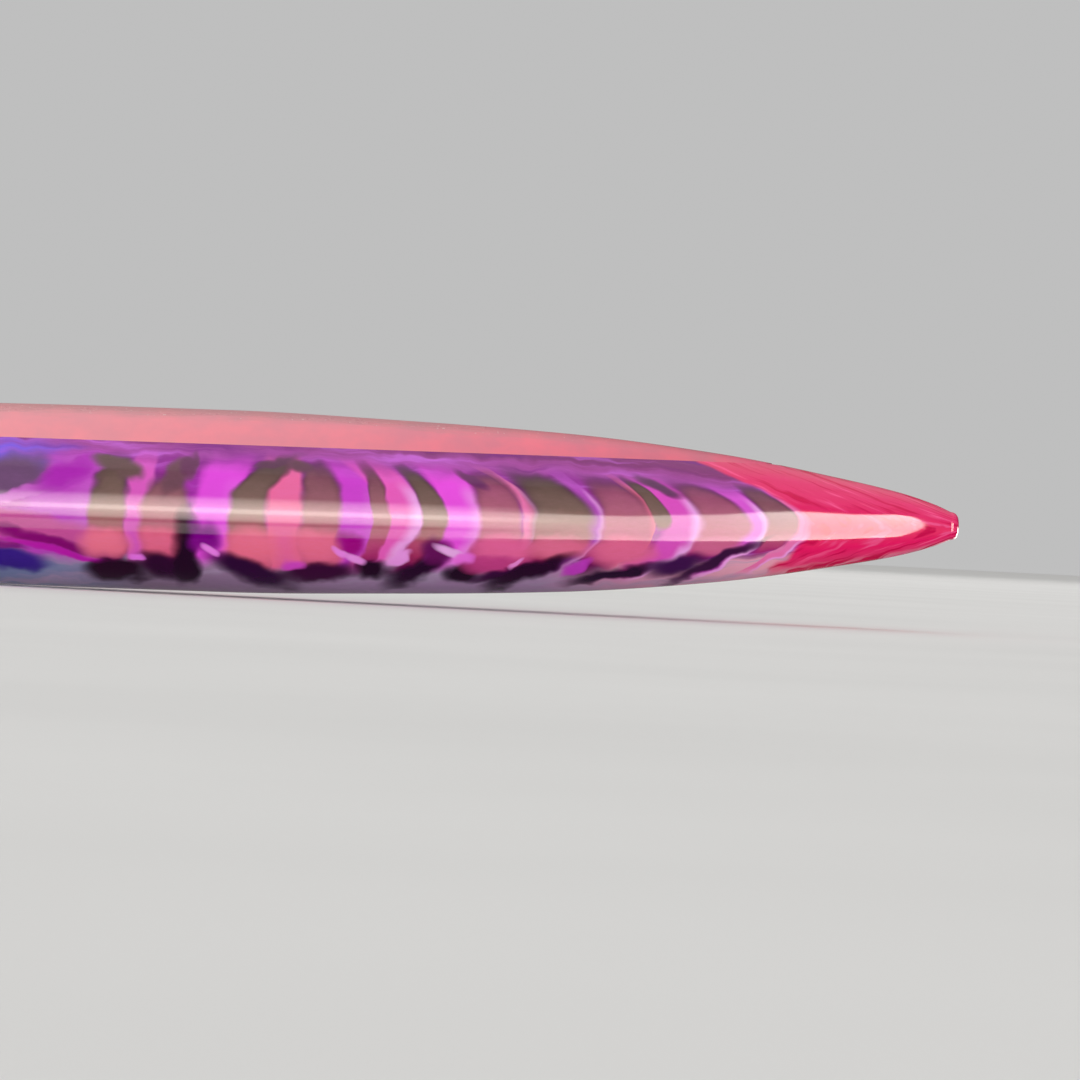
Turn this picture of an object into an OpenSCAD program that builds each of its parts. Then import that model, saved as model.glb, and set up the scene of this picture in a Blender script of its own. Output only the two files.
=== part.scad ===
// Dip pen: a turned resin holder with a coral layer on its top side,
// a steel ferrule with a four-petal spring, and a pointed steel nib.
// Millimetres. The pen's axis is X: the nib points to -X, the tail to +X,
// and the coral layer is on top, +Z. The origin is on the axis, in the
// plane of the holder's front face.

/* [Holder] */
// Length of the holder, front face to tail tip
holder_len = 152; // [140:1:170]
// Radius at the front face
mouth_r = 4.9; // [4.8:0.05:5.6]
// Radius of the narrowest place of the grip
waist_r = 4.75; // [4.7:0.05:5.5]
// Radius of the straight stretch, the widest place
belly_r = 6.5; // [6.2:0.05:7]
// Length of the straight stretch
belly_len = 8; // [4:1:10]
// Distance from the tail tip to the straight stretch
tail_len = 52; // [50:1:58]
// Radius of the blunt nose at the tail tip
nose_r = 0.75; // [0.5:0.05:1]
// Height of the flat joint below the coral layer, above the axis
coral_z = 3.95; // [3.95:0.01:4.3]

/* [Ferrule] */
// Outer radius of the ferrule sleeve, and of the bore it is glued into
sleeve_r = 3.75; // [3.7:0.01:3.75]
// Thickness of the sleeve's wall and end
sleeve_wall = 0.28; // [0.25:0.01:0.32]
// Depth of the sleeve in the holder
sleeve_len = 13; // [12:0.5:16]
// Radius of the rolled bead around the sleeve's mouth
bead_r = 0.38; // [0.3:0.01:0.45]

/* [Spring] */
// Thickness of the spring's petals
petal_t = 0.25; // [0.2:0.01:0.26]
// Width of the slots between the petals
petal_gap = 1.7; // [1.2:0.1:2.2]
// Distance of the petals' tips behind the front face
petal_inset = 1.2; // [0.8:0.1:2]

/* [Nib] */
// Length of the nib, heel to point
nib_len = 32; // [28:0.5:36]
// Length of the nib's heel inside the ferrule
nib_grip = 10.5; // [8:0.5:11]
// Thickness of the nib's sheet
nib_t = 0.25; // [0.2:0.01:0.25]
// Width of the heel
heel_w = 5.6; // [5:0.1:5.8]
// Width across the shoulders
shoulder_w = 5.9; // [5.9:0.05:6]
// Width of the point
point_w = 0.4; // [0.36:0.02:0.6]
// Width of the slit between the tines
slit_w = 0.08; // [0.06:0.01:0.12]
// Radius of the vent hole at the end of the slit
vent_r = 0.65; // [0.5:0.05:0.8]

/* [Hidden] */
$fn = 96;
fit_gap = 0.03;
cut = 0.1;

// Holder outline: places along the axis, radius there, and steps up to the next place.
// A smooth curve that never overshoots runs through them.
belly_end = holder_len - tail_len;
belly_start = belly_end - belly_len;
flare_r = mouth_r + 0.2;
edge_round = 0.5;
nose_len = 0.6;
nose_round = 0.25;
STATIONS = [
    [edge_round, mouth_r, 3],
    [2.2, flare_r, 6],
    [14, waist_r, 10],
    [0.5 * belly_start, 0.88 * belly_r, 8],
    [0.85 * belly_start, 0.982 * belly_r, 4],
    [belly_start, belly_r, 1],
    [belly_end, belly_r, 4],
    [holder_len - 40, 0.952 * belly_r, 4],
    [holder_len - 28, 0.869 * belly_r, 5],
    [holder_len - 17, 0.702 * belly_r, 5],
    [holder_len - 8.5, 0.482 * belly_r, 5],
    [holder_len - 4.2, 0.345 * belly_r, 5],
    [holder_len - 1.6, 0.222 * belly_r, 4],
    [holder_len - nose_len, nose_r + nose_round, 0]
];

function rise(i) = (STATIONS[i + 1][1] - STATIONS[i][1]) / (STATIONS[i + 1][0] - STATIONS[i][0]);
function inner_slope(i) = rise(i - 1) * rise(i) <= 0 ? 0 : 2 / (1 / rise(i - 1) + 1 / rise(i));
function slope(i) =
    i == 0 ? rise(0) :
    i == len(STATIONS) - 1 ? rise(i - 1) :
    inner_slope(i);
function hermite(a, b, ma, mb, t) =
    a * (2 * t ^ 3 - 3 * t ^ 2 + 1) + ma * (t ^ 3 - 2 * t ^ 2 + t)
    + b * (3 * t ^ 2 - 2 * t ^ 3) + mb * (t ^ 3 - t ^ 2);
function place(i, t) = let(a = STATIONS[i], b = STATIONS[i + 1], h = b[0] - a[0])
    [a[0] + h * t, hermite(a[1], b[1], slope(i) * h, slope(i + 1) * h, t)];
last = len(STATIONS) - 1;
OUTLINE = concat(
    [for (a = [0:15:75]) [edge_round * (1 - cos(a)), mouth_r - edge_round * (1 - sin(a))]],
    [for (i = [0:last - 1]) for (k = [0:STATIONS[i][2] - 1]) place(i, k / STATIONS[i][2])],
    [for (a = [0:15:75]) [
        holder_len - nose_len * (1 - sin(a)),
        nose_r + nose_round * cos(a)
    ]],
    [[holder_len, nose_r]]
);

// Ferrule: the sleeve's inside, the nib's sheet and the spring fit one inside the other.
sleeve_in_r = sleeve_r - sleeve_wall;
nib_r = sleeve_in_r - fit_gap;
nib_in_r = nib_r - nib_t;
spring_r = nib_in_r - fit_gap;
spring_in_r = spring_r - petal_t;
floor_x = sleeve_len - sleeve_wall;
spring_base_x = floor_x - petal_t;
drill_point = 2.2;
drill_tip_r = 0.4;

// Each petal bends in by petal_bend over its last petal_lead, and ends in a small flat tip.
petal_lead = 1.6;
petal_bend = 0.25;
petal_tip = 0.15;
petal_tip_bend = 0.02;
petal_root = 0.6;
base_bevel = 0.3;

rivet_r = 0.8;
rivet_head_r = 1.45;
rivet_head_t = 0.4;
rivet_flat_r = 0.7 * rivet_head_r;
rivet_edge_t = 0.3 * rivet_head_t;

// Nib: the shoulders sit in front of the mouth, and the sheet bends down towards the point.
heel_x = nib_grip;
point_x = nib_grip - nib_len;
shoulder_x = -4.5;
vent_x = -8.2;
point_r = 1.7;
nib_steps = 14;
bend_curve = 0.8;
taper_curve = 1.25;
function nib_fall(t) = cos(90 * t);
function nib_radius(t) = point_r + (nib_r - point_r) * nib_fall(t) ^ bend_curve;
function nib_half_w(t) = point_w / 2 + (shoulder_w - point_w) / 2 * nib_fall(t) ^ taper_curve;
function nib_x(t) = shoulder_x + (point_x - shoulder_x) * t;

// Side cuts: an arc about a centre beside the nib, kept to the stretch between its end and the nib's edge.
cut_arc_x = -8.6;
cut_arc_y = 3.9;
cut_arc_r = 2.55;
cut_w = 0.25;
cut_end_y = 0.5;

// Turns a drawing of radius against length about the pen's axis.
module turned() {
    rotate([0, 90, 0])
        rotate_extrude()
            children();
}

// Swaps a list of [length, radius] places into a drawing for turned().
module drawing(points) {
    polygon([for (p = points) [p[1], p[0]]]);
}

module holder_solid() {
    turned()
        drawing(concat([[0, 0]], OUTLINE, [[holder_len, 0]]));
}

module ferrule_bore() {
    turned()
        drawing([
            [-cut, 0],
            [-cut, sleeve_r],
            [sleeve_len, sleeve_r],
            [sleeve_len + drill_point, drill_tip_r],
            [sleeve_len + drill_point, 0]
        ]);
}

module above_joint() {
    translate([-1, -belly_r - 1, coral_z])
        cube([holder_len + 2, 2 * belly_r + 2, belly_r]);
}

module holder_core() {
    color("mediumorchid")
        difference() {
            holder_solid();
            ferrule_bore();
            above_joint();
        }
}

module coral_layer() {
    color("lightcoral")
        intersection() {
            holder_solid();
            above_joint();
        }
}

module ferrule_sleeve() {
    color("silver")
        difference() {
            union() {
                turned()
                    drawing([
                        [0, sleeve_in_r],
                        [0, sleeve_r],
                        [sleeve_len, sleeve_r],
                        [sleeve_len, 0],
                        [floor_x, 0],
                        [floor_x, sleeve_in_r]
                    ]);
                turned()
                    translate([sleeve_in_r + bead_r, -bead_r])
                        circle(r = bead_r);
                turned()
                    drawing([
                        [-bead_r, sleeve_in_r],
                        [-bead_r, sleeve_in_r + 2 * bead_r],
                        [0, sleeve_in_r + 2 * bead_r],
                        [0, sleeve_in_r]
                    ]);
            }
            rivet_shank(fit_gap);
        }
}

module petal_spring() {
    color("lightsteelblue")
        difference() {
            turned()
                drawing([
                    [petal_inset, spring_in_r - petal_bend],
                    [petal_inset + petal_tip, spring_in_r - petal_tip_bend],
                    [petal_inset + petal_lead, spring_in_r],
                    [spring_base_x, spring_in_r],
                    [spring_base_x, 0],
                    [floor_x, 0],
                    [floor_x, spring_r - base_bevel],
                    [floor_x - base_bevel, spring_r],
                    [petal_inset + petal_lead, spring_r],
                    [petal_inset, spring_r - petal_bend]
                ]);
            for (side = [0, 90])
                rotate([45 + side, 0, 0])
                    translate([petal_inset - cut, -spring_r - 1, -petal_gap / 2])
                        cube([spring_base_x - petal_inset - petal_root, 2 * spring_r + 2, petal_gap]);
            rivet_shank(fit_gap);
        }
}

module rivet_shank(gap) {
    translate([spring_base_x - cut, 0, 0])
        rotate([0, 90, 0])
            cylinder(r = rivet_r + gap, h = sleeve_len - spring_base_x + 2 * cut);
}

module spring_rivet() {
    color("goldenrod")
        turned()
            drawing([
                [spring_base_x - rivet_head_t, 0],
                [spring_base_x - rivet_head_t, rivet_flat_r],
                [spring_base_x - rivet_edge_t, rivet_head_r],
                [spring_base_x, rivet_head_r],
                [spring_base_x, rivet_r],
                [sleeve_len, rivet_r],
                [sleeve_len, rivet_head_r],
                [sleeve_len + rivet_edge_t, rivet_head_r],
                [sleeve_len + rivet_head_t, rivet_flat_r],
                [sleeve_len + rivet_head_t, 0]
            ]);
}

module nib_sheet() {
    steps = [for (i = [0:nib_steps]) i / nib_steps];
    turned()
        drawing(concat(
            [[heel_x, nib_in_r], [heel_x, nib_r]],
            [for (t = steps) [nib_x(t), nib_radius(t)]],
            [for (i = [nib_steps:-1:0]) [nib_x(steps[i]), nib_radius(steps[i]) - nib_t]]
        ));
}

module nib_plan() {
    side = [for (i = [0:nib_steps]) [nib_x(i / nib_steps), nib_half_w(i / nib_steps)]];
    polygon(concat(
        [[heel_x, heel_w / 2]],
        side,
        [for (i = [nib_steps:-1:0]) [side[i][0], -side[i][1]]],
        [[heel_x, -heel_w / 2]]
    ));
}

// A curved cut that lets each tine bend, from the nib's edge in towards the vent hole.
module side_cut() {
    intersection() {
        difference() {
            translate([cut_arc_x, cut_arc_y])
                circle(r = cut_arc_r);
            translate([cut_arc_x, cut_arc_y])
                circle(r = cut_arc_r - cut_w);
        }
        translate([cut_arc_x, cut_end_y])
            square([cut_arc_r, shoulder_w / 2 - cut_end_y + cut]);
    }
}

module nib() {
    color("gainsboro")
        difference() {
            intersection() {
                nib_sheet();
                linear_extrude(belly_r)
                    nib_plan();
            }
            translate([vent_x, 0, 0])
                cylinder(r = vent_r, h = belly_r);
            translate([point_x - 1, -slit_w / 2, 0])
                cube([vent_x - point_x + 1, slit_w, belly_r]);
            for (side = [0, 1])
                mirror([0, side, 0])
                    linear_extrude(belly_r)
                        side_cut();
        }
}

holder_core();
coral_layer();
ferrule_sleeve();
petal_spring();
spring_rivet();
nib();
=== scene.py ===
"""The looks of the dip pen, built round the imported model. Lengths named in millimetres are in the pen's own
frame: the axis is X, the nib points to -X, the coral layer is on top, and the origin is in the holder's front
face."""

import math

import bpy
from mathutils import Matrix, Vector


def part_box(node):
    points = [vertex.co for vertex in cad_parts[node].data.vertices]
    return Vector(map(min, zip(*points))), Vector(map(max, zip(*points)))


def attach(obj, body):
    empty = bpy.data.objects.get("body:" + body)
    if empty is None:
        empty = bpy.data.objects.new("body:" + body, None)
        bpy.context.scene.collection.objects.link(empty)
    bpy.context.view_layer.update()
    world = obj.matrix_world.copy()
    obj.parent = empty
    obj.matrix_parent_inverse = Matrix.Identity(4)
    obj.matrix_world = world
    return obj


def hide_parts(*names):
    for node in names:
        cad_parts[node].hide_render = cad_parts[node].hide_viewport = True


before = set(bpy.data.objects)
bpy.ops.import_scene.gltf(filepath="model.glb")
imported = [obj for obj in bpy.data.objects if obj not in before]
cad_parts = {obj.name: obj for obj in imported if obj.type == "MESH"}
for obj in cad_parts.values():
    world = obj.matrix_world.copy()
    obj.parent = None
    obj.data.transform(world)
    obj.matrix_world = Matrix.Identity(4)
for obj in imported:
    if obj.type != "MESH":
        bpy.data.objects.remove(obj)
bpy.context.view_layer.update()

MM = 0.001
CORE_LOW, CORE_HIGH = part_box("holder_core")
CORAL_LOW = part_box("coral_layer")[0]
SLEEVE_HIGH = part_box("ferrule_sleeve")[1]

# ---------------------------------------------------------------- the holder's outline, in millimetres

HOLDER_LEN = CORE_HIGH.x / MM
BELLY_R = -CORE_LOW.z / MM
CORAL_Z = CORAL_LOW.z / MM
BORE_R = 3.75
BORE_LEN = SLEEVE_HIGH.x / MM
DRILL_POINT = 2.2
DRILL_TIP_R = 0.4
MOUTH_R = 4.9
WAIST_R = 4.75
EDGE_ROUND = 0.5
NOSE_LEN = 0.6
NOSE_R = 1.0
BELLY_END = HOLDER_LEN - 52
BELLY_START = BELLY_END - 8

# Places along the axis and the radius there, as in the CAD model.
STATIONS = [
    (EDGE_ROUND, MOUTH_R),
    (2.2, MOUTH_R + 0.2),
    (14, WAIST_R),
    (0.5 * BELLY_START, 0.88 * BELLY_R),
    (0.85 * BELLY_START, 0.982 * BELLY_R),
    (BELLY_START, BELLY_R),
    (BELLY_END, BELLY_R),
    (HOLDER_LEN - 40, 0.952 * BELLY_R),
    (HOLDER_LEN - 28, 0.869 * BELLY_R),
    (HOLDER_LEN - 17, 0.702 * BELLY_R),
    (HOLDER_LEN - 8.5, 0.482 * BELLY_R),
    (HOLDER_LEN - 4.2, 0.345 * BELLY_R),
    (HOLDER_LEN - 1.6, 0.222 * BELLY_R),
    (HOLDER_LEN - NOSE_LEN, NOSE_R),
]


def rise(i):
    (xa, ra), (xb, rb) = STATIONS[i], STATIONS[i + 1]
    return (rb - ra) / (xb - xa)


def slope(i):
    if i == 0:
        return rise(0)
    if i == len(STATIONS) - 1:
        return rise(i - 1)
    before, after = rise(i - 1), rise(i)
    return 0 if before * after <= 0 else 2 / (1 / before + 1 / after)


def spot_between(i, t):
    """The (x, radius) place at share t of the way from station i to the next, on a smooth curve."""
    (xa, ra), (xb, rb) = STATIONS[i], STATIONS[i + 1]
    h = xb - xa
    r = (
        ra * (2 * t**3 - 3 * t**2 + 1)
        + slope(i) * h * (t**3 - 2 * t**2 + t)
        + rb * (3 * t**2 - 2 * t**3)
        + slope(i + 1) * h * (t**3 - t**2)
    )
    return xa + h * t, r


def outline(ring_gap=0.7, arc_steps=8):
    """The holder's (x, radius) places from the front face's edge to the middle of the nose."""
    points = []
    for k in range(arc_steps):
        a = math.radians(90 * k / arc_steps)
        points.append((EDGE_ROUND * (1 - math.cos(a)), MOUTH_R - EDGE_ROUND * (1 - math.sin(a))))
    for i in range(len(STATIONS) - 1):
        steps = max(2, round((STATIONS[i + 1][0] - STATIONS[i][0]) / ring_gap))
        points += [spot_between(i, k / steps) for k in range(steps)]
    for k in range(2 * arc_steps):
        a = math.radians(90 * k / (2 * arc_steps))
        points.append((HOLDER_LEN - NOSE_LEN * (1 - math.sin(a)), NOSE_R * math.cos(a) ** 0.6))
    return points


# ---------------------------------------------------------------- meshes


def piece(name, verts, faces, normals=None, material=None):
    """A mesh object from points in millimetres. normals maps a face's index to its corners' normals."""
    mesh = bpy.data.meshes.new(name)
    mesh.from_pydata([[c * MM for c in v] for v in verts], [], faces)
    mesh.polygons.foreach_set("use_smooth", [True] * len(mesh.polygons))
    if normals:
        flat = []
        for face in mesh.polygons:
            own = normals.get(face.index)
            flat += own if own else [tuple(face.normal)] * face.loop_total
        mesh.normals_split_custom_set(flat)
    mesh.update()
    obj = bpy.data.objects.new(name, mesh)
    bpy.context.scene.collection.objects.link(obj)
    if material:
        mesh.materials.append(material)
    return obj


class Shell:
    """Collects points and faces. Turned faces keep the exact normals of the turned surface."""

    def __init__(self):
        self.verts, self.faces, self.normals, self.exact = [], [], {}, {}

    def point(self, x, r, angle, normal=None):
        """A point at an angle from straight up, with the outline's normal (along x, along r) if turned."""
        s, c = math.sin(angle), math.cos(angle)
        self.verts.append((x, r * s, r * c))
        if normal:
            self.exact[len(self.verts) - 1] = (normal[0], normal[1] * s, normal[1] * c)
        return len(self.verts) - 1

    def face(self, *corners, turned=False):
        corners = [c for k, c in enumerate(corners) if c != corners[k - 1]]
        if len(corners) < 3:
            return
        if turned:
            self.normals[len(self.faces)] = [self.exact[c] for c in corners]
        self.faces.append(corners)


def outline_normals(points):
    """The outward normal at each (x, r) place of an outline that runs from the front to the tail."""
    found = []
    for k in range(len(points)):
        xa, ra = points[max(k - 1, 0)]
        xb, rb = points[min(k + 1, len(points) - 1)]
        length = math.hypot(xb - xa, rb - ra)
        found.append((-(rb - ra) / length, (xb - xa) / length))
    return found


def coral_half_angle(r):
    """Half the angle that the coral layer spans where the holder's radius is r."""
    return math.acos(CORAL_Z / r) if r > CORAL_Z else 0.0


def build_core(material, columns=144):
    """The ribbon resin: turned outside, flat joint on top, and the bore for the ferrule."""
    shell = Shell()
    points = outline()
    normals = outline_normals(points)
    rings = []
    for (x, r), normal in zip(points, normals):
        gap = coral_half_angle(r)
        ring = []
        for k in range(columns + 1):
            if gap == 0 and k == columns:
                ring.append(ring[0])
                continue
            ring.append(shell.point(x, r, gap + (2 * math.pi - 2 * gap) * k / columns, normal))
        rings.append(ring)
    for a, b in zip(rings, rings[1:]):
        for k in range(columns):
            shell.face(a[k], b[k], b[k + 1], a[k + 1], turned=True)
        shell.face(a[-1], b[-1], b[0], a[0])
    tip = shell.point(HOLDER_LEN, 0, 0, (1, 0))
    for k in range(columns):
        shell.face(rings[-1][k], tip, rings[-1][k + 1], turned=True)

    def bore_ring(x, r):
        ring = [shell.point(x, r, 2 * math.pi * k / columns) for k in range(columns)]
        return ring + ring[:1]

    bore = [bore_ring(0, BORE_R), bore_ring(BORE_LEN, BORE_R), bore_ring(BORE_LEN + DRILL_POINT, DRILL_TIP_R)]
    for a, b in zip([rings[0]] + bore, bore):
        for k in range(columns):
            shell.face(a[k], a[k + 1], b[k + 1], b[k])
    shell.face(rings[0][-1], rings[0][0], bore[0][0])
    shell.face(*bore[-1][:-1])
    return piece("ribbon_core", shell.verts, shell.faces, shell.normals, material)


def build_coral(material, columns=48):
    """The coral layer: turned outside, flat joint below, and a small flat end at the holder's front face."""
    shell = Shell()
    whole = outline()
    points = [(x, r) for x, r in whole if r > CORAL_Z]
    normals = outline_normals(whole)
    rings = []
    for (x, r), normal in zip(points, normals):
        gap = coral_half_angle(r)
        rings.append([shell.point(x, r, -gap + 2 * gap * k / columns, normal) for k in range(columns + 1)])
    for a, b in zip(rings, rings[1:]):
        for k in range(columns):
            shell.face(a[k], b[k], b[k + 1], a[k + 1], turned=True)
        shell.face(a[-1], b[-1], b[0], a[0])
    shell.face(*reversed(rings[0]))
    shell.face(*rings[-1])
    return piece("coral_top", shell.verts, shell.faces, shell.normals, material)


# ---------------------------------------------------------------- shader arithmetic


def linear(red, green, blue):
    """A colour as the eye names it, 0 to 255, turned into the light it reflects."""
    parts = []
    for c in (red, green, blue):
        c /= 255
        parts.append(c / 12.92 if c <= 0.04045 else ((c + 0.055) / 1.055) ** 2.4)
    return (*parts, 1.0)


class Field:
    """A number or a colour that varies over the surface. Arithmetic on it adds nodes."""

    def __init__(self, tree, socket):
        self.tree, self.socket = tree, socket

    def put(self, slot, value):
        if isinstance(value, Field):
            self.tree.links.new(value.socket, slot)
        else:
            slot.default_value = value

    def math(self, operation, *others, clamp=False):
        node = self.tree.nodes.new("ShaderNodeMath")
        node.operation = operation
        node.use_clamp = clamp
        for slot, value in zip(node.inputs, (self, *others)):
            self.put(slot, value)
        return Field(self.tree, node.outputs[0])

    def __add__(self, other):
        return self.math("ADD", other)

    def __sub__(self, other):
        return self.math("SUBTRACT", other)

    def __mul__(self, other):
        return self.math("MULTIPLY", other)

    def __truediv__(self, other):
        return self.math("DIVIDE", other)

    def __pow__(self, other):
        return self.math("POWER", other)

    def __abs__(self):
        return self.math("ABSOLUTE")

    def clamped(self):
        return self.math("ADD", 0.0, clamp=True)

    def floored(self):
        return self.math("FLOOR")

    def between(self, low, high):
        """0 at low, 1 at high, with a soft curve between; low may be the greater."""
        node = self.tree.nodes.new("ShaderNodeMapRange")
        node.interpolation_type = "SMOOTHSTEP"
        self.put(node.inputs["Value"], self)
        node.inputs["From Min"].default_value = low
        node.inputs["From Max"].default_value = high
        return Field(self.tree, node.outputs["Result"])

    def ramp(self, stops, curve="LINEAR"):
        """The colour at this number, from (number, colour) stops; a colour may be one grey number."""
        low, high = stops[0][0], stops[-1][0]
        node = self.tree.nodes.new("ShaderNodeValToRGB")
        node.color_ramp.interpolation = curve
        elements = node.color_ramp.elements
        while len(elements) < len(stops):
            elements.new(1.0)
        for element, (at, colour) in zip(elements, stops):
            element.position = (at - low) / (high - low)
            element.color = colour if isinstance(colour, tuple) else (colour, colour, colour, 1.0)
        self.put(node.inputs["Fac"], ((self - low) / (high - low)).clamped())
        return Field(self.tree, node.outputs["Color"])

    def mixed(self, under, over, blend="MIX"):
        """under where this number is 0, over where it is 1."""
        node = self.tree.nodes.new("ShaderNodeMix")
        node.data_type = "RGBA"
        node.blend_type = blend
        self.put(node.inputs["Factor"], self)
        self.put(node.inputs[6], under)
        self.put(node.inputs[7], over)
        return Field(self.tree, node.outputs[2])


class Paint:
    """A material with one Principled shader, and the surface's own place in millimetres to paint by."""

    def __init__(self, name):
        self.material = bpy.data.materials.new(name)
        self.material.use_nodes = True
        self.tree = self.material.node_tree
        self.shader = self.tree.nodes["Principled BSDF"]
        place_node = self.tree.nodes.new("ShaderNodeTexCoord")
        scaled = self.tree.nodes.new("ShaderNodeVectorMath")
        scaled.operation = "SCALE"
        scaled.inputs["Scale"].default_value = 1 / MM
        self.tree.links.new(place_node.outputs["Object"], scaled.inputs[0])
        self.spot = Field(self.tree, scaled.outputs[0])
        split = self.tree.nodes.new("ShaderNodeSeparateXYZ")
        self.tree.links.new(self.spot.socket, split.inputs[0])
        self.x, self.y, self.z = (Field(self.tree, split.outputs[k]) for k in range(3))

    def radius(self):
        """The distance from the pen's axis."""
        return (self.y * self.y + self.z * self.z) ** 0.5

    def drop(self):
        """How far below the axis, as a share of the radius: -1 on top, 1 underneath."""
        return self.z / self.radius() * -1.0

    def vector(self, x, y, z):
        node = self.tree.nodes.new("ShaderNodeCombineXYZ")
        for slot, value in zip(node.inputs, (x, y, z)):
            self.x.put(slot, value)
        return Field(self.tree, node.outputs[0])

    def noise(self, at, scale, detail=2.0, roughness=0.5):
        """Smooth noise about 0, from -0.5 to 0.5."""
        node = self.tree.nodes.new("ShaderNodeTexNoise")
        node.inputs["Scale"].default_value = scale
        node.inputs["Detail"].default_value = detail
        node.inputs["Roughness"].default_value = roughness
        self.tree.links.new(at.socket, node.inputs["Vector"])
        return Field(self.tree, node.outputs["Fac"]) - 0.5

    def even(self, number):
        """The same number all over."""
        node = self.tree.nodes.new("ShaderNodeValue")
        node.outputs[0].default_value = number
        return Field(self.tree, node.outputs[0])

    def random(self, number, seed):
        """One number from 0 to 1 for each whole number."""
        node = self.tree.nodes.new("ShaderNodeTexWhiteNoise")
        node.noise_dimensions = "1D"
        self.tree.links.new((number + seed).socket, node.inputs["W"])
        return Field(self.tree, node.outputs["Value"])

    def set(self, **values):
        """Sets the shader's sockets by name, with _ for a space."""
        for name, value in values.items():
            self.x.put(self.shader.inputs[name.replace("_", " ")], value)

    def bump(self, height, distance):
        """Raises the surface where height is greater, by up to the distance in millimetres."""
        node = self.tree.nodes.new("ShaderNodeBump")
        node.inputs["Strength"].default_value = 1.0
        node.inputs["Distance"].default_value = distance * MM
        self.tree.links.new(height.socket, node.inputs["Height"])
        self.tree.links.new(node.outputs["Normal"], self.shader.inputs["Normal"])


# ---------------------------------------------------------------- the ribbon resin

# Places are in millimetres from the holder's front face, and heights are shares of the radius below the axis.
# A bow is how far towards the nib, in millimetres at one radius up or down, a stripe sweeps. A negative one
# leans only its upper half, towards the tail.

# Clear windows between the ribbons: middle, half width, bow, top, bottom, and tone.
WINDOWS = [
    (91.85, 1.4, -1.5, -0.46, 0.80, "olive"),
    (95.9, 1.6, -1.0, -0.26, 0.80, "mixed"),
    (101.7, 1.4, -7.5, -0.50, 0.80, "olive"),
    (106.9, 1.4, 1.0, -0.42, 0.80, "mixed"),
    (111.0, 0.7, 4.0, -0.46, 0.74, "mixed"),
    (114.8, 0.85, 7.5, -0.46, 0.78, "olive"),
    (119.5, 1.55, 5.0, -0.42, 0.78, "mauve"),
    (123.9, 2.15, 9.0, -0.48, 0.80, "olive"),
    (128.4, 1.75, 7.0, -0.46, 0.80, "mauve"),
    (130.9, 0.6, 8.0, -0.48, 0.20, "olive"),
    (135.4, 1.7, 9.0, -0.48, 0.62, "mauve"),
    (139.4, 1.15, 7.0, -0.54, 0.60, "mixed"),
]

# Pearl ribbons: middle, half width, bow, bottom, colour, and strength of the painted tail-edge highlight.
RIBBONS = [
    (88.5, 2.0, -5.0, 0.70, (198, 74, 200), 0.1),
    (94.05, 0.7, -1.5, 0.74, (230, 96, 200), 0.1),
    (99.5, 1.3, -3.0, 0.70, (240, 80, 234), 0.1),
    (104.35, 1.1, 0.5, 0.74, (250, 112, 166), 0.0),
    (109.2, 1.15, 2.5, 0.72, (214, 70, 214), 0.1),
    (112.6, 1.3, 8.0, 0.72, (246, 98, 196), 0.9),
    (116.8, 1.3, 5.5, 0.74, (248, 84, 236), 0.5),
    (121.65, 0.38, 10.0, 0.72, (244, 122, 180), 0.7),
    (126.2, 0.5, 8.5, 0.74, (184, 80, 190), 0.6),
    (130.1, 0.28, 8.0, 0.72, (236, 116, 148), 0.0),
    (132.6, 1.25, 9.0, 0.86, (230, 84, 198), 1.0),
    (137.6, 0.75, 8.5, 0.90, (226, 92, 218), 1.0),
    (141.0, 0.5, 7.0, 0.90, (248, 120, 184), 0.8),
]

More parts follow.
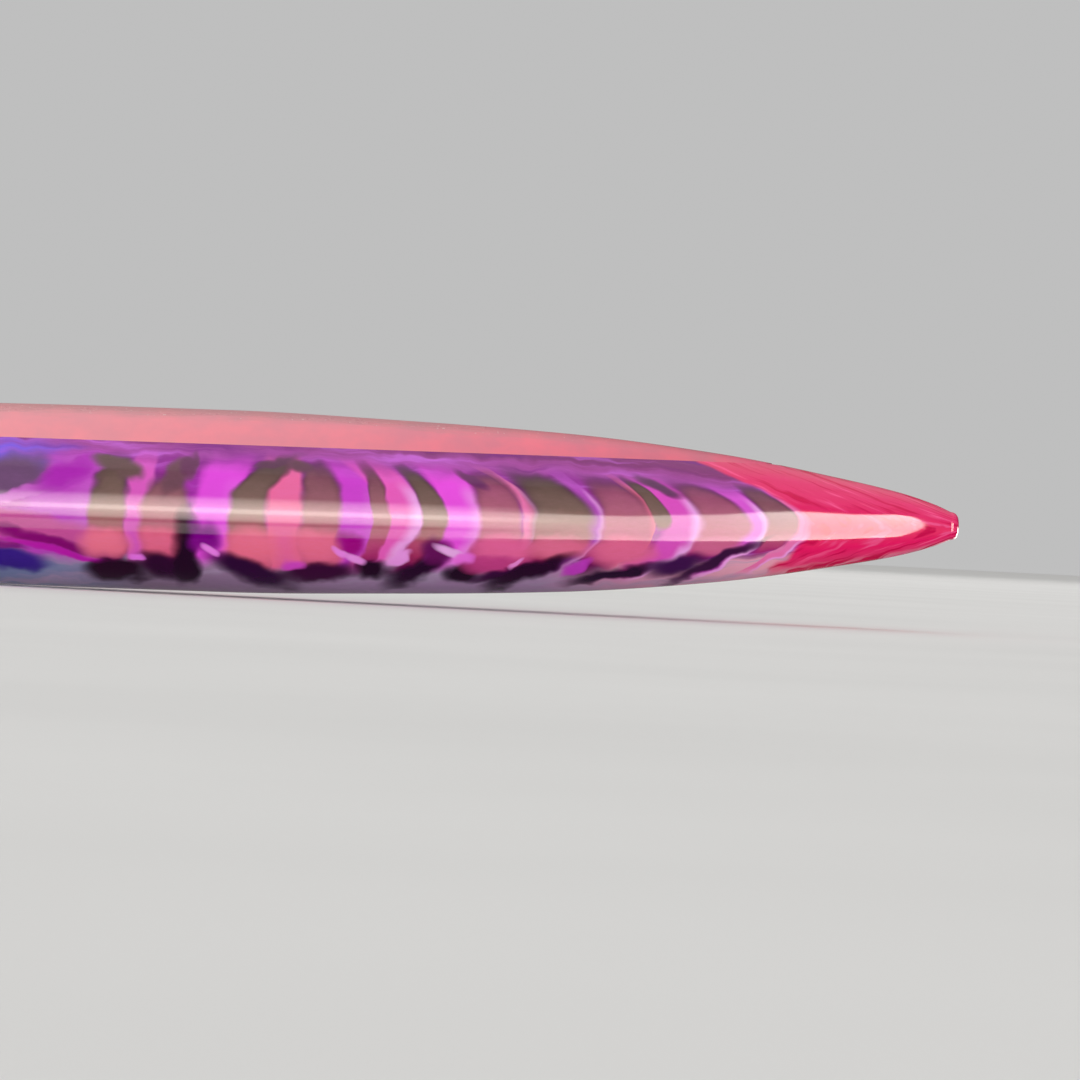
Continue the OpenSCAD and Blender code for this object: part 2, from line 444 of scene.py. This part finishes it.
# Soft patches over them: middle, height, half width, half height, slant (height per mm), softness, colour.
PATCHES = [
    # Near the break between the two patterns: a smoky diamond, a lilac ray, and rose and navy below.
    (85.0, -0.20, 2.3, 0.20, -0.03, 0.5, (112, 80, 116)),
    (86.8, -0.07, 3.4, 0.045, -0.060, 0.8, (210, 108, 208)),
    (88.9, -0.24, 1.6, 0.09, -0.055, 0.8, (176, 44, 182)),
    (86.8, 0.37, 4.0, 0.12, 0.018, 0.7, (206, 84, 156)),
    (87.6, 0.49, 3.4, 0.050, 0.036, 0.7, (134, 0, 112)),
    (88.6, 0.61, 3.0, 0.026, 0.036, 0.9, (196, 26, 180)),
    (84.8, 0.71, 2.7, 0.09, 0.012, 0.4, (58, 30, 140)),
    # Painted salmon light low in the windows, from light through the clear resin.
    (91.6, 0.49, 1.2, 0.11, 0.0, 0.9, (255, 124, 150)),
    (95.6, 0.48, 1.0, 0.11, 0.0, 0.9, (244, 110, 144)),
    (102.0, 0.48, 1.4, 0.13, 0.0, 0.9, (255, 120, 150)),
    (106.6, 0.48, 1.2, 0.13, 0.0, 0.9, (250, 116, 150)),
    (119.6, 0.48, 1.4, 0.13, 0.0, 0.9, (242, 104, 158)),
    (123.6, 0.44, 1.5, 0.09, 0.0, 0.9, (236, 112, 148)),
    (128.2, 0.50, 1.5, 0.14, 0.0, 0.9, (238, 108, 150)),
    (134.7, 0.44, 1.2, 0.09, 0.0, 0.9, (214, 104, 146)),
    # Smoky shoulders atop some windows; the two at 96.8 and 97.7 mm top the painted shadow stripe.
    (92.2, -0.37, 1.15, 0.065, 0.01, 0.5, (104, 82, 80)),
    (93.4, -0.27, 0.8, 0.09, 0.0, 0.5, (108, 84, 82)),
    (96.8, -0.25, 1.0, 0.11, -0.09, 0.6, (112, 76, 88)),
    (97.7, -0.38, 0.4, 0.08, -0.12, 0.7, (106, 58, 92)),
    (103.4, -0.43, 1.0, 0.030, -0.03, 0.7, (96, 58, 84)),
    (105.4, -0.39, 0.8, 0.05, 0.03, 0.6, (104, 66, 84)),
    (117.3, -0.35, 1.0, 0.040, 0.08, 0.7, (108, 52, 100)),
    (130.4, -0.40, 1.4, 0.05, 0.07, 0.6, (98, 56, 92)),
    # Painted shade: dark lobes below the windows, and the foot of the painted shadow stripe near 97 mm.
    (92.6, 0.79, 2.1, 0.105, 0.0, 0.4, (34, 0, 30)),
    (95.8, 0.73, 1.5, 0.11, 0.045, 0.5, (44, 0, 44)),
    (97.6, 0.76, 0.8, 0.14, 0.03, 0.5, (26, 0, 26)),
    (97.3, 0.50, 0.6, 0.32, 0.0, 0.7, (30, 0, 30)),
    (98.5, 0.38, 0.9, 0.13, 0.0, 0.7, (128, 0, 138)),
    (102.1, 0.76, 2.6, 0.11, 0.050, 0.5, (44, 0, 52)),
    (106.7, 0.75, 2.3, 0.09, -0.018, 0.5, (56, 0, 52)),
    (108.9, 0.43, 0.6, 0.09, 0.0, 0.9, (160, 0, 130)),
    (110.5, 0.72, 0.9, 0.10, -0.02, 0.5, (30, 0, 30)),
    (113.7, 0.71, 2.1, 0.12, -0.065, 0.45, (36, 0, 38)),
    (115.0, 0.50, 0.8, 0.11, 0.0, 0.8, (100, 12, 88)),
    (116.8, 0.78, 1.1, 0.09, 0.0, 0.5, (28, 0, 28)),
    (119.3, 0.66, 1.6, 0.08, 0.0, 0.9, (204, 66, 138)),
    (119.7, 0.77, 1.9, 0.05, -0.04, 0.6, (56, 0, 58)),
    (121.5, 0.75, 2.8, 0.10, -0.065, 0.45, (36, 0, 36)),
    (127.6, 0.79, 2.9, 0.060, -0.03, 0.5, (34, 4, 40)),
    (131.9, 0.70, 1.6, 0.11, -0.04, 0.6, (60, 12, 74)),
    (134.6, 0.66, 3.2, 0.060, -0.085, 0.5, (54, 14, 58)),
    # Painted glints at the bright lower ends of the ribbons.
    (93.9, 0.645, 0.38, 0.028, 0.0, 0.8, (255, 128, 255)),
    (99.1, 0.54, 0.48, 0.034, 0.08, 0.8, (255, 140, 255)),
    (104.8, 0.68, 0.6, 0.05, 0.0, 0.8, (230, 78, 214)),
    (108.2, 0.53, 0.35, 0.030, 0.05, 0.8, (255, 144, 250)),
    (109.3, 0.60, 0.55, 0.034, 0.06, 0.8, (255, 158, 252)),
    (112.4, 0.58, 0.60, 0.030, -0.075, 0.8, (255, 162, 250)),
    (116.1, 0.52, 0.85, 0.040, 0.065, 0.8, (255, 186, 255)),
    (117.0, 0.60, 0.5, 0.05, -0.03, 0.9, (255, 118, 240)),
    (120.6, 0.63, 0.34, 0.034, -0.10, 0.8, (255, 150, 232)),
    (124.9, 0.69, 0.75, 0.050, -0.06, 0.9, (200, 62, 202)),
    (139.0, 0.56, 0.55, 0.03, -0.14, 0.5, (240, 130, 186)),
]

FRONT_END = 81.8
TIP_START = 141.2
BOW_MIDDLE = 0.12
ROUNDNESS = 2.4
SEAM_BLUR = 0.4

# Window colours by height: smoky on top, painted salmon light lower down, painted shade at the bottom.
OLIVE = [
    (-0.55, linear(82, 60, 70)),
    (-0.3, linear(104, 84, 76)),
    (-0.05, linear(126, 102, 92)),
    (0.15, linear(152, 112, 100)),
    (0.3, linear(172, 98, 106)),
    (0.45, linear(186, 74, 112)),
    (0.55, linear(164, 44, 92)),
    (0.65, linear(110, 8, 82)),
    (0.82, linear(52, 0, 46)),
]
MAUVE = [
    (-0.55, linear(122, 54, 102)),
    (-0.3, linear(152, 80, 110)),
    (-0.05, linear(178, 100, 124)),
    (0.15, linear(194, 106, 128)),
    (0.3, linear(200, 96, 130)),
    (0.45, linear(192, 72, 128)),
    (0.55, linear(180, 48, 122)),
    (0.65, linear(120, 12, 92)),
    (0.82, linear(52, 0, 50)),
]


def resin_ground(x, height, streaks):
    """The purple pearl behind the ribbons, and lavender painted shade and reflection along the underside."""
    upper = (height + streaks * 0.12).ramp(
        [
            (-0.66, linear(128, 44, 110)),
            (-0.58, linear(158, 64, 146)),
            (-0.50, linear(170, 74, 166)),
            (-0.42, linear(148, 48, 148)),
            (-0.15, linear(172, 54, 176)),
            (0.25, linear(182, 40, 168)),
            (0.48, linear(150, 12, 130)),
            (0.62, linear(132, 50, 130)),
        ]
    )
    upper = (streaks.between(0.0, 0.24) * 0.8).mixed(upper, linear(206, 104, 222))
    upper = (streaks.between(0.0, -0.22) * 0.8).mixed(upper, linear(122, 26, 132))
    # Painted shade and reflection: the lavender-grey underside band, bluer to the nib, pinker to the tail.
    under = x.ramp(
        [
            (0.0, linear(94, 94, 182)),
            (60.0, linear(106, 122, 188)),
            (88.0, linear(134, 148, 184)),
            (95.0, linear(154, 128, 160)),
            (110.0, linear(172, 144, 182)),
            (122.0, linear(174, 144, 184)),
            (129.0, linear(222, 158, 190)),
            (138.0, linear(250, 180, 200)),
            (142.0, linear(246, 110, 146)),
        ]
    )
    under = streaks.between(-0.05, 0.25).mixed(under, linear(176, 158, 188))
    colour = (height + streaks * 0.25).between(0.58, 0.70).mixed(upper, under)
    cool = (x + streaks * 12.0).between(90.5, 85.0) * (height + streaks * 0.3).between(-0.16, -0.34)
    cool = cool * (height + streaks * 0.3).between(-0.64, -0.50)
    return (cool * 0.9).mixed(colour, linear(122, 92, 236))


def oblong(across, level):
    """1 on the edge of a rounded oblong that runs from -1 to 1 both ways, and less inside it."""
    return abs(across) ** ROUNDNESS + abs(level) ** ROUNDNESS


def ribbon_over(under, across, height, low, body, edge):
    """A pearl ribbon. across runs from -1 to 1 over its width; edge is its painted tail-side highlight."""
    ends = height.between(-0.56, -0.26) * height.between(low + 0.06, low - 0.1)
    # Painted highlight: the upper part of the tail side turns pale pink-white.
    lit = across.between(0.1, 0.9) * height.between(-0.35, -0.1) * edge
    colour = lit.clamped().mixed(body, linear(255, 176, 250))
    return (abs(across).between(1.45, 0.85) * ends).mixed(under, colour)


def window_over(under, across, level, height, inside):
    """A clear smoky window with a dark upper rim. across and level are 1 at its edges."""
    reach = across**3.0 + level**3.4
    rim = reach.between(0.15, 1.0) * height.between(0.12, -0.25) * 0.65
    return reach.between(1.6, 0.45).mixed(under, rim.mixed(inside, linear(62, 32, 56)))


def front_half(paint, under, swept, height, olive, mauve):
    """More windows and ribbons on the way to the nib, one of each to a cell, in cooler colours."""
    cell = 6.1
    cells = swept / cell
    number = cells.floored()
    share = cells - number
    middle = paint.random(number, 3.5) * 0.12 + 0.26
    half = paint.random(number, 11.5) * 0.09 + 0.19
    top = paint.random(number, 23.5) * 0.16 - 0.52
    low = 0.80
    tone = paint.random(number, 37.5)
    across = (share - middle) / half
    body = paint.random(number, 51.5).ramp(
        [
            (0.0, linear(118, 84, 232)),
            (0.3, linear(196, 70, 226)),
            (0.55, linear(240, 92, 214)),
            (0.8, linear(250, 112, 168)),
            (1.0, linear(92, 108, 226)),
        ],
        "CONSTANT",
    )
    colour = ribbon_over(under, (share - 0.78) / 0.17, height, 0.72, body, paint.random(number, 67.5))
    level = abs((height - (top + low) / 2.0) / ((top - low) / 2.0))
    inside = tone.mixed(olive, mauve)
    colour = window_over(colour, abs(across), level, height, inside)
    # Painted shade: a dark lobe below each window.
    shade_lobe = oblong(across * 0.8 - 0.2, (height - 0.76) / 0.12)
    colour = shade_lobe.between(1.5, 0.5).mixed(colour, linear(36, 6, 44))
    # Painted glint: a bright pale spot at each ribbon's lower end.
    glint_end = oblong((share - 0.80) / 0.13, (height - 0.58) / 0.06)
    return glint_end.between(1.6, 0.4).mixed(colour, linear(250, 170, 248))


def tail_tip(paint, height, swept, behind):
    """The hot pink end, with crimson and light pink arcs, and painted pale pink reflection at the bottom."""
    colour = height.ramp(
        [
            (-1.0, linear(228, 76, 112)),
            (-0.7, linear(232, 44, 106)),
            (-0.3, linear(236, 42, 104)),
            (0.3, linear(250, 50, 104)),
            (0.6, linear(244, 20, 98)),
            (0.85, linear(238, 52, 112)),
            # Painted reflection: paler pink at the very bottom.
            (1.0, linear(246, 160, 180)),
        ]
    )
    arcs = paint.noise(paint.vector(swept * 0.42, height * 1.3 + 7.0, behind), 1.5, 2.0, 0.55)
    colour = arcs.between(0.03, 0.14).mixed(colour, linear(212, 0, 76))
    colour = arcs.between(-0.05, -0.17).mixed(colour, linear(255, 84, 140))
    return colour


def ribbon_resin():
    """The purple ground, the ribbons, windows and patches over it, the front half's own, and the pink tip."""
    paint = Paint("ribbon_resin")
    x, y, z = paint.x, paint.y, paint.z
    coarse = paint.noise(paint.spot, 0.28, 2.0)
    fine = paint.noise(paint.vector(x + 40.0, y, z), 0.55, 1.6)
    behind = y.between(0.0, 5.0)
    along = x + behind * 3.6 + coarse * 1.0 + fine * 1.0
    height = paint.drop() + fine * 0.16 + coarse * 0.08
    above = (height - BOW_MIDDLE).math("MINIMUM", 0.0) ** 2.0
    below = (height - BOW_MIDDLE).math("MAXIMUM", 0.0) ** 2.0

    def bowed(bow):
        return along + above * bow + below * max(bow, 0.0)

    swept = bowed(9.0)
    tip_edge = along + above * 9.0 + below * 4.0
    streaks = paint.noise(paint.vector(swept * 0.10, height * 8.0, behind), 1.0, 3.5, 0.52)
    mica = paint.noise(paint.vector(x * 0.7, y * 2.2, z * 2.2), 2.4, 4.0, 0.7)
    olive, mauve = height.ramp(OLIVE), height.ramp(MAUVE)
    tones = {"olive": olive, "mixed": paint.even(0.5).mixed(olive, mauve), "mauve": mauve}

    ground = resin_ground(x, height, streaks)
    colour = ground
    for middle, half, bow, low, shade, edge in RIBBONS:
        across = (bowed(bow) - middle) / half
        colour = ribbon_over(colour, across, height, low, linear(*shade), edge)
    for middle, half, bow, top, low, tone in WINDOWS:
        across = abs((bowed(bow) - middle) / half)
        level = abs((height - (top + low) / 2) / ((low - top) / 2))
        colour = window_over(colour, across, level, height, tones[tone])
    for middle, level, half, half_height, slant, softness, shade in PATCHES:
        offset = along - middle
        reach = oblong(offset / half, (height - level - offset * slant) / half_height)
        mask = reach.between((1.0 + softness) ** ROUNDNESS, (1.0 - softness) ** ROUNDNESS)
        colour = mask.mixed(colour, linear(*shade))

    front = front_half(paint, ground, bowed(4.5), height, olive, mauve)
    colour = along.between(FRONT_END + SEAM_BLUR, FRONT_END - SEAM_BLUR).mixed(colour, front)
    tip = tail_tip(paint, height, swept, behind)
    colour = tip_edge.between(TIP_START - SEAM_BLUR, TIP_START + SEAM_BLUR).mixed(colour, tip)
    shine = (mica * 0.6 + streaks * 0.4).between(-0.3, 0.35) * 0.35
    colour = shine.mixed(colour, linear(255, 225, 255), "SOFT_LIGHT")
    paint.set(Base_Color=colour, Roughness=0.07, IOR=1.45)
    return paint.material


def coral_resin():
    """Opaque coral pinker to the tail, with a painted grey reflection and dust specks on top near the belly.
    """
    paint = Paint("coral_resin")
    cloud = paint.noise(paint.spot, 0.35, 4.0)
    colour = (paint.x + cloud * 3.0).ramp(
        [
            (0.0, linear(240, 160, 154)),
            (84.0, linear(236, 150, 160)),
            (108.0, linear(230, 134, 150)),
            (126.0, linear(220, 112, 134)),
            (134.0, linear(212, 102, 126)),
            (137.0, linear(228, 74, 120)),
            (140.0, linear(234, 60, 118)),
        ]
    )
    colour = cloud.between(-0.2, 0.3).mixed(colour, linear(255, 190, 188), "SOFT_LIGHT")
    patchy = paint.noise(paint.vector(paint.x * 0.25, paint.y, paint.z), 1.3, 4.0, 0.6)
    # Painted reflection: a grey band on top mirrors the grey surroundings; it is also rougher and dusty.
    stretch = paint.x.between(134.0, 112.0) * paint.x.between(30.0, 84.0)
    reflection_and_dust = (paint.drop() + patchy * 0.18).between(-0.85, -0.98) * stretch
    colour = (reflection_and_dust * 0.42).mixed(colour, linear(150, 132, 128))
    specks = paint.noise(paint.spot, 4.5, 1.0)
    colour = (specks.between(0.22, 0.26) * reflection_and_dust).mixed(colour, linear(240, 228, 220))
    paint.set(Base_Color=colour, Roughness=reflection_and_dust * 0.25 + 0.07, IOR=1.45)
    return paint.material


# ---------------------------------------------------------------- the metals


def brushed(name, colour, dark, along, around, roughness, depth):
    """Bare metal with fine lines. along and around are the noise's wave numbers along and around the pen."""
    paint = Paint(name)
    turn = paint.y.math("ARCTAN2", paint.z)
    at = paint.vector(paint.x * along, turn * around, paint.radius() * 2.0)
    lines = paint.noise(at, 1.0, 5.0, 0.7)
    cloud = paint.noise(paint.spot, 0.6, 3.0)
    shade = (lines * 0.5 + cloud * 0.9).between(-0.3, 0.3).mixed(dark, colour)
    paint.set(Base_Color=shade, Metallic=1.0, Roughness=cloud * 0.12 + lines * 0.08 + roughness)
    paint.bump(lines, depth)
    return paint


def ferrule_steel():
    light, dark = linear(226, 227, 230), linear(196, 197, 202)
    return brushed("ferrule_steel", light, dark, 9.0, 1.2, 0.16, 0.006).material


def spring_steel():
    light, dark = linear(196, 200, 208), linear(160, 165, 176)
    return brushed("spring_steel", light, dark, 0.6, 24.0, 0.32, 0.006).material


def rivet_brass():
    light, dark = linear(214, 176, 104), linear(178, 140, 76)
    return brushed("rivet_brass", light, dark, 3.0, 6.0, 0.28, 0.004).material


def nib_steel():
    """Polished lengthwise, and cross-ground near the point."""
    light, dark = linear(222, 224, 228), linear(186, 188, 194)
    paint = brushed("nib_steel", light, dark, 0.35, 16.0, 0.2, 0.004)
    ground = paint.x.between(-15.5, -16.5) * paint.x.between(-21.2, -20.4)
    cross = paint.noise(paint.vector(paint.x * 16.0, paint.y * 0.8, paint.z * 0.8), 1.0, 3.0, 0.6)
    paint.bump(cross * ground, 0.02)
    return paint.material


# ---------------------------------------------------------------- build


core = build_core(ribbon_resin())
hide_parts("holder_core")
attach(core, "holder")
coral = build_coral(coral_resin())
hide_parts("coral_layer")
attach(coral, "holder")
METALS = {
    "ferrule_sleeve": ferrule_steel(),
    "petal_spring": spring_steel(),
    "spring_rivet": rivet_brass(),
    "nib": nib_steel(),
}
for node, metal in METALS.items():
    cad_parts[node].material_slots[0].material = metal

# ---------------------------------------------------------------- stage, light and camera


def area_light(name, spot, target, size, watts):
    """A soft light that lights the pen and the floor but isn't mirrored in the polish."""
    data = bpy.data.lights.new(name, "AREA")
    data.shape = "RECTANGLE"
    data.size, data.size_y = size
    data.energy = watts
    obj = bpy.data.objects.new(name, data)
    bpy.context.scene.collection.objects.link(obj)
    obj.location = Vector(spot)
    obj.rotation_euler = (Vector(target) - Vector(spot)).to_track_quat("-Z", "Y").to_euler()
    obj.visible_camera = False
    obj.visible_glossy = False


def flat_card(name, corners, paint):
    mesh = bpy.data.meshes.new(name)
    mesh.from_pydata(corners, [], [(0, 1, 2, 3)])
    card = bpy.data.objects.new(name, mesh)
    bpy.context.scene.collection.objects.link(card)
    mesh.materials.append(paint.material)
    return card


def build_floor():
    """A pale floor. The pen rests on its belly and on the rim of its mouth, and the floor leans with them."""
    size = 3.0
    gap = 0.02
    rest_x, rest_r = STATIONS[1]
    lean = max((r - rest_r) / (x - rest_x) for x, r in outline() if x > HOLDER_LEN / 4)

    def under(x):
        return -(rest_r + lean * (x / MM - rest_x) + gap) * MM

    paint = Paint("floor")
    grain = paint.noise(paint.spot, 0.02, 3.0)
    pale = grain.between(-0.5, 0.5).mixed(linear(216, 215, 213), linear(224, 223, 221))
    paint.set(Base_Color=pale, Roughness=0.9, Specular_IOR_Level=0.0)
    left, right = under(-size), under(size)
    corners = [(-size, -size, left), (size, -size, right), (size, size, right), (-size, size, left)]
    floor = flat_card("floor", corners, paint)
    floor.visible_glossy = False
    floor.visible_shadow = False


def build_world():
    """Soft grey light from all round, and what the polish mirrors: grey at the horizon, paler overhead."""
    world = bpy.data.worlds.new("studio")
    bpy.context.scene.world = world
    world.use_nodes = True
    tree = world.node_tree
    path = tree.nodes.new("ShaderNodeLightPath")
    direction = tree.nodes.new("ShaderNodeTexCoord")
    split = tree.nodes.new("ShaderNodeSeparateXYZ")
    tree.links.new(direction.outputs["Generated"], split.inputs[0])
    mirrored = Field(tree, split.outputs["Z"]).ramp(
        [
            (-1.0, linear(84, 76, 82)),
            (0.0, linear(128, 120, 120)),
            (0.5, linear(150, 140, 136)),
            (0.8, linear(225, 222, 220)),
            (1.0, linear(255, 255, 255)),
        ]
    )
    ambient, backdrop = (0.62, 0.62, 0.62, 1.0), (0.52, 0.52, 0.52, 1.0)
    shade = Field(tree, path.outputs["Is Camera Ray"]).mixed(ambient, backdrop)
    shade = Field(tree, path.outputs["Is Glossy Ray"]).mixed(shade, mirrored)
    shade.put(tree.nodes["Background"].inputs["Color"], shade)


# How strongly the cards glow, and how far from the pen's axis they stand, in metres.
GLOW = 17.0
CARD_Y = 0.35


def set_glow(paint, glow):
    """Makes the paint a slightly warm light, as strong as the glow, from 0 to 1, says."""
    paint.shader.inputs["Base Color"].default_value = (0, 0, 0, 1)
    warm = paint.even(1.0).mixed(glow, linear(255, 244, 234), "MULTIPLY")
    paint.set(Emission_Color=warm, Emission_Strength=GLOW, Roughness=1.0)


def glow_card(name, paint, y, span, reach=1.0):
    """A card beside the pen that only its reflections see. reach is how many times farther from the tail it
    stands and how many times larger it is, so that the tail mirrors it the same."""
    low, high = -0.4, 0.25
    tail_x = CORE_HIGH.x - 0.008
    left, right = span
    card = flat_card(name, [(left, y, low), (right, y, low), (right, y, high), (left, y, high)], paint)
    card.scale = (reach, reach, reach)
    card.location.x = tail_x * (1 - reach)
    card.visible_camera = False
    card.visible_diffuse = False
    card.visible_shadow = False
    card.visible_transmission = False


def build_softboxes():
    """The long bands in the polish. In front, towards the nib: a soft band with a bright core and a faint
    second band below it. In front, towards the tail: a broad even band that grows taller. Its last part is
    far off, where the pen's edge hardly mirrors it in views from behind. Behind: one soft band, off towards
    the tail, where the camera doesn't catch it along the pen's lower edge."""
    paint = Paint("softbox_front")
    band = paint.z.ramp(
        [
            (-335.0, 0.0),
            (-320.0, 0.12),
            (-208.0, 0.14),
            (-194.0, 0.02),
            (-176.0, 0.02),
            (-150.0, 0.38),
            (-100.0, 0.56),
            (-92.0, 0.92),
            (-66.0, 0.92),
            (-54.0, 0.56),
            (0.0, 0.30),
            (34.0, 0.0),
        ]
    )
    past = (paint.x - 200.0).math("MAXIMUM", 0.0)
    top = past * 1.45 - 26.0
    bottom = past * -0.55 - 286.0
    broad = paint.z.ramp([(-400.0, 0.66), (-190.0, 0.50), (0.0, 0.60), (250.0, 0.80)])
    broad = broad * (paint.z - top).between(22.0, -6.0) * (paint.z - bottom).between(-8.0, 4.0)
    broad = broad * (paint.x.between(210.0, 350.0) * 0.6 + 1.0)
    glow = paint.x.between(120.0, 184.0).mixed(band, broad) * paint.x.between(448.0, 424.0)
    set_glow(paint, glow)
    glow_card("softbox_front", paint, -CARD_Y, (-0.5, 0.29))
    glow_card("softbox_tail", paint, -CARD_Y, (0.27, 0.448), reach=8.0)

    paint = Paint("softbox_back")
    band = paint.z.ramp([(-160.0, 0.0), (-140.0, 0.3), (-90.0, 0.8), (-60.0, 0.8), (-20.0, 0.3), (0.0, 0.0)])
    set_glow(paint, band * paint.x.between(220.0, 260.0))
    glow_card("softbox_back", paint, CARD_Y, (0.22, 0.8))


def build_lights():
    middle = (0.08, 0, 0)
    area_light("top_soft", (0.08, -0.1, 1.6), middle, (1.6, 1.2), 5.6)
    area_light("front_soft", (0.08, -1.3, 0.1), middle, (1.4, 0.9), 6.0)
    area_light("back_soft", (0.08, 1.2, 0.8), middle, (1.6, 0.6), 3.5)


def build_camera():
    """Level with the pen and square to it, on its tail half, and rolled a little, as the photo is."""
    distance, view_width = 0.38, 0.0769
    before_tail, below_axis = 0.02975, 0.002
    roll = 1.97
    data = bpy.data.cameras.new("camera")
    data.sensor_width = 36
    data.lens = data.sensor_width * distance / view_width
    data.clip_start = 0.01
    camera = bpy.data.objects.new("camera", data)
    bpy.context.scene.collection.objects.link(camera)
    camera.location = (CORE_HIGH.x - before_tail, -distance, -below_axis)
    camera.rotation_euler = (math.radians(90), 0, 0)
    camera.rotation_euler.rotate_axis("Z", math.radians(roll))
    bpy.context.scene.camera = camera


build_floor()
build_world()
build_softboxes()
build_lights()
build_camera()
bpy.context.scene.view_settings.view_transform = "Standard"
